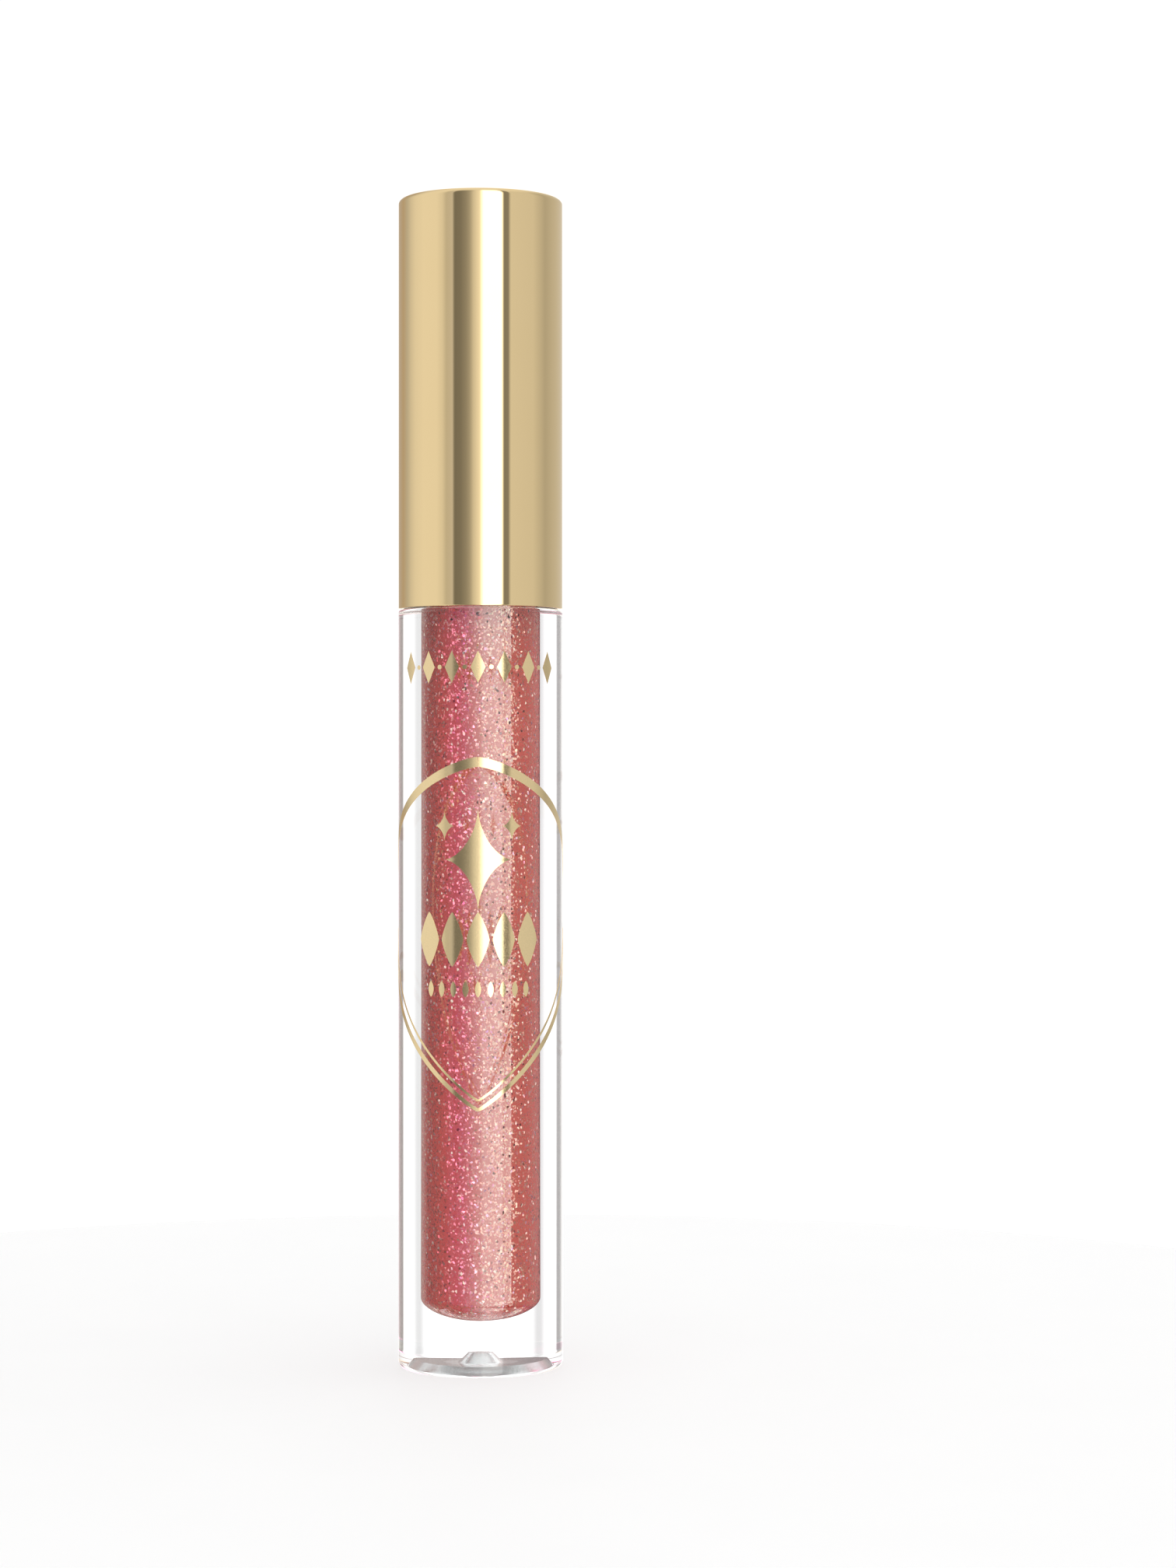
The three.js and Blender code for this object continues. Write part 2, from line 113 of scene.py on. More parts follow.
ROD_RADIUS = 2.05 * MM
TIP_TOP = FLOCK_HIGH.z
TIP_LENGTH = FLOCK_HIGH.z - FLOCK_LOW.z
TIP_RADIUS = 2.3 * MM
TIP_LEAN = 0.95 * MM
TIP_NARROWING_ACROSS = 0.2
TIP_NARROWING_DEEP = 0.12
TIP_SHOULDER_HEIGHT = 0.8 * MM
TIP_SHOULDER_DEPTH = 0.45 * MM
SLEEVE_THICKNESS = 0.45 * MM
FIBRE_COUNT = 9000
FIBRE_LENGTH = 0.34 * MM
FIBRE_RADIUS = 0.028 * MM
TUFT_SIZE = 0.55 * MM
TUFT_KINDS = 997
COAT_LENGTH = 5.0 * MM

FOIL_THICKNESS = 0.02 * MM
FOIL_LIFT = 0.004 * MM
PETAL_TOP = 58.7 * MM
PETAL_BOTTOM = 25.6 * MM
PETAL_REACH = math.radians(97) * OUTER_RADIUS  # half of its widest, round the wall
LOZENGE_ROW = 67.75 * MM
LOZENGE_SPACING = 2.55 * MM
DOT_RADIUS = 0.22 * MM
STAR_POWER = 0.62

FLOOR_RADIUS = 118 * MM

SEGMENTS = 192
HOLD = 0.12 * MM  # extra edge loops this far from each corner keep the long faces true


# ---- Mesh helpers -------------------------------------------------------------------------------

def arc(centre_r, centre_z, radius, start, end, steps=8, height=None):
    """Points of a round or elliptical stretch of a profile, from start to end in degrees."""
    height = radius if height is None else height
    angles = [math.radians(start + (end - start) * i / steps) for i in range(steps + 1)]
    return [(centre_r + radius * math.cos(a), centre_z + height * math.sin(a)) for a in angles]


def held(profile):
    """The profile with an extra point near both ends of each long straight stretch."""
    points = [profile[0]]
    for start, end in zip(profile, profile[1:]):
        length = math.dist(start, end)
        if length < 1e-7:
            continue
        if length > 4 * HOLD:
            for share in (HOLD / length, 1 - HOLD / length):
                points.append(tuple(a + (b - a) * share for a, b in zip(start, end)))
        points.append(end)
    return points


def make_object(name, vertices, faces, smooth_angle=35):
    mesh = bpy.data.meshes.new(name)
    mesh.from_pydata([tuple(v) for v in vertices], [], [tuple(f) for f in faces])
    mesh.validate()
    finish_shading(mesh, smooth_angle)
    piece = bpy.data.objects.new(name, mesh)
    bpy.context.scene.collection.objects.link(piece)
    return piece


def finish_shading(mesh, smooth_angle):
    mesh.shade_smooth()
    mesh.set_sharp_from_angle(angle=math.radians(smooth_angle))
    mesh.update()


def revolved(profile, segments=SEGMENTS, closed=False):
    """Vertices and faces of a profile of (radius, height) turned about Z, with the material on its left."""
    points = held(profile + profile[:1])[:-1] if closed else held(profile)
    vertices, rings = [], []
    for radius, height in points:
        if radius < 1e-7:
            rings.append([len(vertices)] * segments)
            vertices.append((0.0, 0.0, height))
            continue
        rings.append(list(range(len(vertices), len(vertices) + segments)))
        for i in range(segments):
            angle = 2 * math.pi * i / segments
            vertices.append((radius * math.cos(angle), radius * math.sin(angle), height))
    pairs = list(zip(rings, rings[1:]))
    if closed:
        pairs.append((rings[-1], rings[0]))
    faces = []
    for lower, upper in pairs:
        for i in range(segments):
            j = (i + 1) % segments
            corners = [lower[i], lower[j], upper[j], upper[i]]
            face = [c for k, c in enumerate(corners) if c != corners[k - 1]]
            if len(face) > 2:
                faces.append(face)
    return vertices, faces


def revolve(name, profile, segments=SEGMENTS, closed=False, smooth_angle=35):
    return make_object(name, *revolved(profile, segments, closed), smooth_angle)


def thread_ridge(name, wall_radius, crest_radius, start_height, steps_per_turn=96):
    """One right-handed screw ridge with a trapezoid section, whose ends run out into the wall."""
    outward = math.copysign(1, crest_radius - wall_radius)
    root_radius = wall_radius - outward * THREAD_CLEARANCE
    steps = round(THREAD_TURNS * steps_per_turn)
    vertices, faces = [], []
    for step in range(steps + 1):
        along = step / steps
        rise = min(1, along / THREAD_FADE, (1 - along) / THREAD_FADE)
        crest = root_radius + rise * (crest_radius - root_radius)
        angle = 2 * math.pi * THREAD_TURNS * along
        middle = start_height + along * THREAD_TURNS * THREAD_PITCH
        section = [
            (root_radius, -THREAD_ROOT_WIDTH / 2),
            (crest, -THREAD_CREST_WIDTH / 2),
            (crest, THREAD_CREST_WIDTH / 2),
            (root_radius, THREAD_ROOT_WIDTH / 2),
        ]
        for radius, offset in section:
            vertices.append((radius * math.cos(angle), radius * math.sin(angle), middle + offset))
    for step in range(steps):
        for k in range(4):
            a, b = step * 4 + k, step * 4 + (k + 1) % 4
            faces.append((b, a, a + 4, b + 4) if outward > 0 else (a, b, b + 4, a + 4))
    ends = [(0, 1, 2, 3), tuple(steps * 4 + k for k in (3, 2, 1, 0))]
    faces += ends if outward > 0 else [end[::-1] for end in ends]
    return make_object(name, vertices, faces)


def unite(body, addition, smooth_angle=35):
    """Joins addition to body as one solid, and removes it."""
    union = body.modifiers.new("union", "BOOLEAN")
    union.operation = "UNION"
    union.solver = "EXACT"
    union.object = addition
    graph = bpy.context.evaluated_depsgraph_get()
    mesh = bpy.data.meshes.new_from_object(body.evaluated_get(graph), depsgraph=graph)
    body.modifiers.remove(union)
    body.data = mesh
    bpy.data.objects.remove(addition)
    finish_shading(mesh, smooth_angle)
    return body


def place(piece, body, slot, material, *nodes):
    """Gives the piece its material and body, and hides the CAD nodes that it replaces. The slot is not
    used.
    """
    piece.data.materials.clear()
    piece.data.materials.append(material)
    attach(piece, body)
    if nodes:
        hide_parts(*nodes)
    return piece


# ---- Material helpers ---------------------------------------------------------------------------

class Nodes:
    """A material's or world's node tree, with short calls for the nodes used here."""

    def __init__(self, owner):
        owner.use_nodes = True
        self.tree = owner.node_tree
        self.tree.nodes.clear()

    def add(self, kind, **settings):
        node = self.tree.nodes.new("ShaderNode" + kind)
        for name, value in settings.items():
            setattr(node, name, value)
        return node

    def link(self, source, target):
        self.tree.links.new(source, target)

    def fill(self, node, **inputs):
        """Sets or links a node's inputs by name, with _ for a space."""
        for name, value in inputs.items():
            socket = node.inputs[name.replace("_", " ")]
            if isinstance(value, bpy.types.NodeSocket):
                self.link(value, socket)
            else:
                socket.default_value = value
        return node

    def math(self, operation, *values):
        node = self.add("Math", operation=operation)
        for socket, value in zip(node.inputs, values):
            if isinstance(value, bpy.types.NodeSocket):
                self.link(value, socket)
            else:
                socket.default_value = value
        return node.outputs[0]

    def vector(self, operation, *values):
        node = self.add("VectorMath", operation=operation)
        for socket, value in zip([s for s in node.inputs if s.type == "VECTOR"], values):
            if isinstance(value, bpy.types.NodeSocket):
                self.link(value, socket)
            else:
                socket.default_value = value
        return node.outputs[0]

    def mix(self, factor, a, b, blend="MIX"):
        """A colour mix. The factor, a and b are sockets or values."""
        node = self.add("Mix", data_type="RGBA", blend_type=blend)
        sockets = [s for s in node.inputs if s.enabled]
        for socket, value in zip(sockets, (factor, a, b)):
            if isinstance(value, bpy.types.NodeSocket):
                self.link(value, socket)
            elif isinstance(value, tuple) and len(value) == 3:
                socket.default_value = (*value, 1)
            else:
                socket.default_value = value
        return [s for s in node.outputs if s.enabled][0]

    def ramp(self, factor, stops, interpolation="LINEAR"):
        """A colour ramp. Each stop is (position, grey level or colour)."""
        node = self.add("ValToRGB")
        elements = node.color_ramp.elements
        node.color_ramp.interpolation = interpolation
        while len(elements) < len(stops):
            elements.new(1)
        for element, (position, colour) in zip(elements, stops):
            element.position = position
            element.color = (*colour, 1) if isinstance(colour, tuple) else (colour,) * 3 + (1,)
        self.link(factor, node.inputs[0])
        return node.outputs[0]

    def noise(self, vector, scale, detail=3.0, roughness=0.5):
        node = self.add("TexNoise")
        self.fill(node, Vector=vector, Scale=scale, Detail=detail, Roughness=roughness)
        return node.outputs

    def voronoi(self, vector, scale):
        node = self.add("TexVoronoi")
        self.fill(node, Vector=vector, Scale=scale)
        return node.outputs

    def bump(self, height, strength, distance):
        node = self.add("Bump")
        self.fill(node, Height=height, Strength=strength, Distance=distance)
        return node.outputs[0]

    def place(self):
        """The piece's own coordinates, in metres."""
        return self.add("TexCoord").outputs["Object"]

    def from_axis(self, point):
        """How far a point is from the tube's axis."""
        length = self.add("VectorMath", operation="LENGTH")
        self.link(self.vector("MULTIPLY", point, (1.0, 1.0, 0.0)), length.inputs[0])
        return length.outputs["Value"]

    def height(self, point):
        axes = self.add("SeparateXYZ")
        self.link(point, axes.inputs[0])
        return axes.outputs[2]


def new_material(name):
    material = bpy.data.materials.new(name)
    nodes = Nodes(material)
    shader = nodes.add("BsdfPrincipled")
    output = nodes.add("OutputMaterial")
    nodes.link(shader.outputs[0], output.inputs["Surface"])
    return material, nodes, shader, output


# ---- Materials ----------------------------------------------------------------------------------

def gold_shell_material():
    """Bright anodised gold: a mirror with faint drawing lines along the tube and a breath of haze."""
    material, nodes, shader, _ = new_material("bright_gold")
    place_ = nodes.place()
    lines = nodes.noise(nodes.vector("MULTIPLY", place_, (1.0, 1.0, 0.01)), 3200, 2)[0]
    haze = nodes.noise(place_, 160, 4)[0]
    tone = nodes.mix(haze, (0.91, 0.70, 0.375), (0.93, 0.72, 0.395))
    rough = nodes.ramp(haze, [(0.35, 0.006), (0.8, 0.018)])
    normal = nodes.bump(lines, 0.012, 0.00001)
    nodes.fill(shader, Base_Color=tone, Metallic=1.0, Roughness=rough, Normal=normal)
    return material


def foil_material():
    """Hot-stamped foil: the same gold, laid a little unevenly, and dull on the side that is glued down."""
    material, nodes, shader, _ = new_material("gold_foil")
    place_ = nodes.place()
    grain = nodes.noise(place_, 9000, 3)[0]
    tone = nodes.mix(grain, (0.84, 0.66, 0.37), (0.98, 0.77, 0.43))
    glued = nodes.math("LESS_THAN", nodes.from_axis(place_), OUTER_RADIUS + FOIL_LIFT + FOIL_THICKNESS / 2)
    rough = nodes.math("MULTIPLY_ADD", glued, 0.5, nodes.ramp(grain, [(0.3, 0.08), (0.8, 0.2)]))
    metallic = nodes.math("MULTIPLY_ADD", glued, -0.75, 1.0)
    normal = nodes.bump(grain, 0.12, 0.00001)
    nodes.fill(shader, Base_Color=tone, Metallic=metallic, Roughness=rough, Normal=normal)
    return material


def clear_material():
    """Crystal-clear plastic, matt on the base panel and on the shoulder under the cap's rim.
    The base panel has painted grey shade, paler round the gate as painted light.
    Lamps shine through it onto what it holds."""
    material, nodes, shader, output = new_material("clear_plastic")
    place_ = nodes.place()
    height = nodes.height(place_)
    reach = nodes.from_axis(place_)
    low = nodes.math("LESS_THAN", height, PANEL_DEPTH + GATE_HEIGHT + 0.1 * MM)
    near_axis = nodes.math("LESS_THAN", reach, PANEL_RADIUS - 0.05 * MM)
    panel = nodes.math("MULTIPLY", low, near_axis)
    high = nodes.math("GREATER_THAN", height, SHOULDER - 0.05 * MM)
    ledge = nodes.math("GREATER_THAN", reach, NECK_RADIUS + NECK_FILLET)
    shoulder = nodes.math("MULTIPLY", high, ledge)
    grain = nodes.noise(place_, 7000, 2)[0]
    matt = nodes.math("MULTIPLY_ADD", grain, 0.2, 0.06)
    ripple = nodes.noise(nodes.vector("MULTIPLY", place_, (1.0, 1.0, 0.15)), 260, 2)[0]
    polish = nodes.math("MULTIPLY", ripple, 0.008)
    rough = nodes.math("ADD", polish, nodes.math("MULTIPLY", panel, matt))
    normal = nodes.bump(ripple, 0.02, 0.00002)
    frosted = nodes.math("MULTIPLY_ADD", shoulder, -0.75, 1.0)
    clearness = nodes.math("MULTIPLY_ADD", panel, -0.55, frosted)
    # The base panel's tone is painted: a grey ring of painted shade, and a paler middle round the gate as
    # painted light.
    near_gate = nodes.math("LESS_THAN", reach, PANEL_PAINTED_LIGHT_RADIUS)
    panel_painted_shade = nodes.mix(grain, (0.34, 0.36, 0.36), (0.60, 0.63, 0.63))
    panel_painted_light = nodes.mix(grain, (0.70, 0.74, 0.74), (0.94, 1.0, 1.0))
    panel_painted_shading = nodes.mix(near_gate, panel_painted_shade, panel_painted_light)
    clear_tone = nodes.mix(shoulder, (0.995, 0.998, 1.0), (0.82, 0.86, 0.86))
    tone = nodes.mix(panel, clear_tone, panel_painted_shading)
    nodes.fill(
        shader,
        Base_Color=tone,
        Roughness=rough,
        IOR=1.57,
        Transmission_Weight=clearness,
        Normal=normal,
    )
    path = nodes.add("LightPath")
    lamp_or_soft = nodes.math("MAXIMUM", path.outputs["Is Shadow Ray"], path.outputs["Is Diffuse Ray"])
    trapped = nodes.math("GREATER_THAN", path.outputs["Glossy Depth"], 1.5)
    lets_through = nodes.math("MAXIMUM", lamp_or_soft, trapped)
    see_through = nodes.add("BsdfTransparent")
    mixed = nodes.add("MixShader")
    nodes.link(lets_through, mixed.inputs[0])
    nodes.link(shader.outputs[0], mixed.inputs[1])
    nodes.link(see_through.outputs[0], mixed.inputs[2])
    nodes.link(mixed.outputs[0], output.inputs["Surface"])
    return material


def glitter(nodes, place_, size, tilt, share):
    """One layer of flakes: where they are, their random numbers and their tilted normal."""
    stretched = nodes.vector("MULTIPLY", place_, (1.0, 1.0, 0.7))
    cells = nodes.voronoi(stretched, 1 / size)
    random = cells["Color"]
    split = nodes.add("SeparateColor")
    nodes.link(random, split.inputs[0])
    chosen = nodes.math("LESS_THAN", split.outputs[0], share)
    lean = nodes.vector("MULTIPLY", nodes.vector("SUBTRACT", random, (0.5, 0.5, 0.5)), tilt)
    shading = nodes.add("NewGeometry").outputs["Normal"]
    normal = nodes.vector("NORMALIZE", nodes.vector("ADD", shading, lean))
    return chosen, split.outputs[1], split.outputs[2], normal


FLAKE_TINTS = [
    (0.0, (1.0, 0.42, 0.36)),
    (0.30, (1.0, 0.60, 0.48)),
    (0.60, (1.0, 0.80, 0.58)),
    (0.80, (1.0, 0.93, 0.82)),
    (0.90, (1.0, 0.42, 0.66)),
    (1.0, (0.82, 0.46, 0.95)),
]


def gloss_material(name, low, high, flake_size, shares, skin):
    """Coral gloss under a wet skin, full of gold and pink flakes, with some that flash violet."""
    material, nodes, shader, output = new_material(name)
    place_ = nodes.place()
    cloud = nodes.noise(nodes.vector("MULTIPLY", place_, (1.0, 1.0, 0.3)), 420, 3)[0]
    body = nodes.mix(cloud, low, high)
    nodes.fill(
        shader,
        Base_Color=body,
        Roughness=0.4,
        Specular_IOR_Level=0.2,
        Coat_Weight=1.0,
        Coat_Roughness=0.02,
        Coat_IOR=skin,
    )
    surface = shader.outputs[0]
    # Each layer: flake size, tilt, share of the surface, and how solid its flakes look.
    layers = (
        (flake_size, (0.26, 0.26, 0.45), shares[0], 0.42),
        (flake_size * 1.25, (0.6, 0.6, 0.9), shares[1], 0.9),
    )
    for size, tilt, share, solid in layers:
        chosen, hue, lightness, normal = glitter(nodes, place_, size, tilt, share)
        tint = nodes.ramp(hue, FLAKE_TINTS)
        flake = nodes.add("BsdfPrincipled")
        bright = nodes.mix(nodes.math("MULTIPLY", lightness, 0.5), tint, (1.0, 0.93, 0.88))
        nodes.fill(flake, Base_Color=bright, Metallic=1.0, Roughness=0.12, Normal=normal)
        mixed = nodes.add("MixShader")
        nodes.link(nodes.math("MULTIPLY", chosen, solid), mixed.inputs[0])
        nodes.link(surface, mixed.inputs[1])
        nodes.link(flake.outputs[0], mixed.inputs[2])
        surface = mixed.outputs[0]
    nodes.link(surface, output.inputs["Surface"])
    return material


def plain_plastic(name, low, high, roughness, grain, depth, subsurface=0.0):
    """A moulded plastic: two close tones and a fine grain."""
    material, nodes, shader, _ = new_material(name)
    place_ = nodes.place()
    tone = nodes.mix(nodes.noise(place_, 300, 3)[0], low, high)
    texture = nodes.noise(place_, grain, 3)[0]
    rough = nodes.ramp(texture, [(0.25, roughness * 0.8), (0.8, roughness * 1.25)])
    nodes.fill(shader, Base_Color=tone, Roughness=rough, Normal=nodes.bump(texture, 0.25, depth))
    if subsurface:
        nodes.fill(
            shader,
            Subsurface_Weight=subsurface,
            Subsurface_Scale=1.0,
            Subsurface_Radius=(0.0012, 0.0012, 0.0012),
        )
    return material


def flock_material():
    """Short dyed fibres, stained unevenly by the gloss and soaked dark near the end of the tip."""
    material, nodes, shader, _ = new_material("pink_flock")
    place_ = nodes.place()
    stain = nodes.noise(place_, 900, 4)[0]
    tone = nodes.mix(stain, (0.44, 0.10, 0.09), (0.86, 0.30, 0.28))
    fine = nodes.noise(place_, 14000, 2)[0]
    varied = nodes.mix(nodes.math("MULTIPLY", fine, 0.5), tone, (0.95, 0.52, 0.50))
    above_end = nodes.math("SUBTRACT", nodes.height(place_), FLOCK_LOW.z)
    share = nodes.math("DIVIDE", above_end, TIP_LENGTH)
    uneven = nodes.math("MULTIPLY_ADD", stain, 0.3, nodes.math("SUBTRACT", share, 0.15))
    soaked = nodes.ramp(uneven, [(0.32, 0.92), (0.56, 0.0)])
    varied = nodes.mix(soaked, varied, (0.34, 0.045, 0.038))
    nodes.fill(
        shader,
        Base_Color=varied,
        Roughness=0.9,
        Sheen_Weight=0.5,
        Sheen_Roughness=0.4,
        Specular_IOR_Level=0.2,
        Normal=nodes.bump(fine, 0.4, 0.00003),
    )
    return material


# ---- Bottle side --------------------------------------------------------------------------------

def clear_bottle():
    gate_top = PANEL_DEPTH + GATE_HEIGHT
    profile = [
        (0, gate_top),
        (GATE_TOP_RADIUS, gate_top),
        (GATE_FOOT_RADIUS, PANEL_DEPTH),
        (PANEL_RADIUS - PANEL_DEPTH / 2, PANEL_DEPTH),
        (PANEL_RADIUS, 0),
        *arc(OUTER_RADIUS - BASE_ROUND, BASE_ROUND, BASE_ROUND, -90, 0, 14),
        *arc(OUTER_RADIUS - SHOULDER_ROUND, SHOULDER - SHOULDER_ROUND, SHOULDER_ROUND, 0, 90, 10),
        *arc(NECK_RADIUS + NECK_FILLET, SHOULDER + NECK_FILLET, NECK_FILLET, 270, 180, 8),
        *arc(NECK_RADIUS - NECK_EDGE, NECK_TOP - NECK_EDGE, NECK_EDGE, 0, 90, 6),
        (NECK_BORE_RADIUS, NECK_TOP),
        (NECK_BORE_RADIUS, NECK_BORE_STEP),
        (BORE_RADIUS, NECK_BORE_STEP - (NECK_BORE_RADIUS - BORE_RADIUS)),
        *arc(0, BORE_FLOOR + BORE_DOME_DEPTH, BORE_RADIUS, 0, -90, 24, BORE_DOME_DEPTH),
    ]
    profile[-1] = (0, BORE_FLOOR)
    bottle = revolve("clear_bottle", profile)
    ridge = thread_ridge("ridge", NECK_RADIUS, NECK_RADIUS + THREAD_DEPTH, THREAD_START)
    return unite(bottle, ridge)


def gloss_column():
    """The gloss, wetting the bore all over, with the store for the wand in its middle."""
    outer = BORE_RADIUS + FILM
    centre = BORE_FLOOR + BORE_DOME_DEPTH
    around_rod = ROD_RADIUS + GLOSS_GAP
    around_tip = TIP_RADIUS + TIP_LEAN
    surface = GLOSS_HIGH.z
    pocket_floor = FLOCK_LOW.z - GLOSS_GAP
    profile = [
        *arc(0, centre, outer, -90, 0, 28, BORE_DOME_DEPTH + FILM),
        (outer, surface + MENISCUS),
        (outer - 0.05 * MM, surface + MENISCUS),
        (outer - MENISCUS, surface),
        (around_rod, surface),
        (around_rod, TIP_TOP + 1 * MM),
        (around_tip, TIP_TOP),
        (around_tip, centre),
        (ROD_RADIUS, pocket_floor),
        (0, pocket_floor),
    ]
    profile[0] = (0, BORE_FLOOR - FILM)
    return revolve("gloss_column", profile)


def neck_wiper():
    outer = NECK_BORE_RADIUS + FILM
    inner = NECK_BORE_RADIUS - WIPER_WALL
    orifice = ROD_RADIUS + WIPER_ORIFICE_GAP
    lip = WIPER_LIP_THICKNESS
    edge = 0.12 * MM
    bottom, top = WIPER_LOW.z, WIPER_HIGH.z
    lip_root = bottom + WIPER_LIP_HEIGHT
    flange_radius = WIPER_HIGH.x
    flange_bottom = NECK_TOP + 0.01 * MM
    profile = [
        (orifice, bottom + edge),
        (orifice + edge, bottom),
        (orifice + lip, bottom),
        (outer, lip_root - lip),
        (outer, flange_bottom),
        *arc(flange_radius - edge, flange_bottom + edge, edge, -90, 0, 5),
        *arc(flange_radius - edge, top - edge, edge, 0, 90, 5),
        *arc(inner + lip, top - lip, lip, 90, 180, 8),
        (inner, lip_root),
        (orifice, bottom + lip),
    ]
    return revolve("neck_wiper", profile, 128, closed=True)


# ---- Foil ornament ------------------------------------------------------------------------------

def strip_faces(first, count, columns):
    """Faces of one closed strip, whose corners start at first: two layers, two sides and two ends."""
    width, last, end = columns + 1, columns, count - 1

    def inner(row, column):
        return first + row * width + column

    def outer(row, column):
        return inner(row, column) + width * count

    faces = []
    for r in range(count - 1):
        for k in range(columns):
            faces.append((outer(r, k), outer(r, k + 1), outer(r + 1, k + 1), outer(r + 1, k)))
            faces.append((inner(r, k), inner(r + 1, k), inner(r + 1, k + 1), inner(r, k + 1)))
        faces.append((inner(r, 0), outer(r, 0), outer(r + 1, 0), inner(r + 1, 0)))
        faces.append((outer(r, last), inner(r, last), inner(r + 1, last), outer(r + 1, last)))
    for k in range(columns):
        faces.append((inner(0, k), inner(0, k + 1), outer(0, k + 1), outer(0, k)))
        faces.append((outer(end, k), outer(end, k + 1), inner(end, k + 1), inner(end, k)))
    return faces


def foil_strips(name, strips, columns):
    """Thin foil on the bottle's wall. Each strip is rows of a left and a right point (along, height)."""
    vertices, faces = [], []
    for rows in strips:
        faces += strip_faces(len(vertices), len(rows), columns)
        for layer in (FOIL_LIFT, FOIL_LIFT + FOIL_THICKNESS):
            radius = OUTER_RADIUS + layer
            for left, right in rows:
                for k in range(columns + 1):
                    along, height = (a + (b - a) * k / columns for a, b in zip(left, right))
                    angle = along / OUTER_RADIUS - math.pi / 2
                    vertices.append((radius * math.cos(angle), radius * math.sin(angle), height))
    return make_object(name, vertices, faces, 60)


def bulge(centre, middle, half_width, half_height, power, steps):
    """A pointed shape: |x / width| ** power + |z / height| ** power = 1. Under 1 it is a star."""
    rows = []
    for i in range(steps + 1):
        share = 2 * i / steps - 1
        up = math.sin(share * math.pi / 2) if power >= 1 else share * abs(share)
        half = half_width * max(0.0, 1 - abs(up) ** power) ** (1 / power)
        height = middle + up * half_height
        rows.append(((centre - half, height), (centre + half, height)))
    return rows


def stroke(points, widths):
    """A line of changing width along points of (along, height)."""
    rows = []
    for i, (x, z) in enumerate(points):
        before, after = points[max(i - 1, 0)], points[min(i + 1, len(points) - 1)]
        run, rise = after[0] - before[0], after[1] - before[1]
        length = math.hypot(run, rise)
        across = (rise / length, -run / length)
        half = widths[i] / 2
        rows.append(
            (
                (x - across[0] * half, z - across[1] * half),
                (x + across[0] * half, z + across[1] * half),
            )
        )
    return rows


def petal_side(side, reach, top, bottom, steps=90):
    """One side of the long petal outline, from its top point to its bottom point."""
    points = []
    for i in range(steps + 1):
        share = (1 - math.cos(math.pi * i / steps)) / 2
        fullness = math.sin(math.pi * share ** 0.8) ** 0.85
        points.append((side * reach * fullness, top + (bottom - top) * share))
    return points


def foil_outline():
    """A petal that wraps round the bottle: a line that thins downwards, with a finer one inside it."""
    strips = []
    for side in (-1, 1):
        points = petal_side(side, PETAL_REACH, PETAL_TOP, PETAL_BOTTOM)
        widths = [(0.95 - 0.65 * i / (len(points) - 1)) * MM for i in range(len(points))]
        strips.append(stroke(points, widths))
        inner = petal_side(side, PETAL_REACH * 0.93, PETAL_TOP, PETAL_BOTTOM + 0.9 * MM)
        lower = inner[len(inner) // 2:]
        strips.append(stroke(lower, [0.22 * MM] * len(lower)))
    return foil_strips("foil_outline", strips, 4)


def foil_top_row():
    """Seven upright lozenges with dots between them, near the top of the bottle's wall."""
    strips = []
    for i in range(-3, 4):
        strips.append(bulge(i * LOZENGE_SPACING, LOZENGE_ROW, 0.72 * MM, 1.55 * MM, 1.0, 12))
    for i in range(-3, 3):
        strips.append(bulge((i + 0.5) * LOZENGE_SPACING, LOZENGE_ROW, DOT_RADIUS, DOT_RADIUS, 2.0, 10))
    return foil_strips("foil_top_row", strips, 4)


def foil_centre():
    """A tall four-pointed star over a bold row and a fine row, inside the petal."""
    strips = [bulge(0, 49.4 * MM, 3.3 * MM, 4.9 * MM, STAR_POWER, 40)]
    for side in (-1, 1):
        strips.append(bulge(side * 3.3 * MM, 52.6 * MM, 1.0 * MM, 1.4 * MM, STAR_POWER, 24))
    for i in range(-2, 3):
        strips.append(bulge(i * 2.5 * MM, 41.8 * MM, 1.1 * MM, 2.6 * MM, 1.25, 24))
    for i in range(-4, 5):
        strips.append(bulge(i * 1.2 * MM, 37.05 * MM, 0.3 * MM, 0.75 * MM, 1.6, 12))
    return foil_strips("foil_centre", strips, 14)


# ---- Cap side -----------------------------------------------------------------------------------

def gold_shell():
    edge = 0.1 * MM
    top = SHELL_HIGH.z
    ceiling = top - SHELL_TOP
    bore = OUTER_RADIUS - SHELL_WALL
    bore_round = SHELL_ROUND - edge
    profile = [
        (0, ceiling),
        *arc(bore - bore_round, ceiling - bore_round, bore_round, 90, 0, 8),
        *arc(bore + edge, RIM + edge, edge, 180, 270, 5),
        *arc(OUTER_RADIUS - edge, RIM + edge, edge, -90, 0, 5),
        *arc(OUTER_RADIUS - SHELL_ROUND, top - SHELL_ROUND, SHELL_ROUND, 0, 90, 12),
        (0, top),
    ]
    return revolve("gold_shell", profile, 256)


def liner_ribs(low, high, inner, outer):
    """Upright ribs between the liner's boss and its upper wall, sunk a little into both."""
    half = RIB_THICKNESS / 2
    inner, outer = inner - RIB_OVERLAP, outer + RIB_OVERLAP
    vertices, faces = [], []
    for i in range(RIB_COUNT):
        angle = 2 * math.pi * i / RIB_COUNT
        along = np.array((math.cos(angle), math.sin(angle), 0))
        across = np.array((-along[1], along[0], 0))
        first = len(vertices)
        for height in (low - RIB_OVERLAP, high):
            for reach, side in ((inner, -half), (outer, -half), (outer, half), (inner, half)):
                vertices.append(tuple(along * reach + across * side + np.array((0, 0, height))))
        faces.append([first + k for k in (3, 2, 1, 0)])
        faces.append([first + k for k in (4, 5, 6, 7)])
        for k in range(4):
            after = (k + 1) % 4
            faces.append([first + k, first + after, first + 4 + after, first + 4 + k])
    return make_object("ribs", vertices, faces)


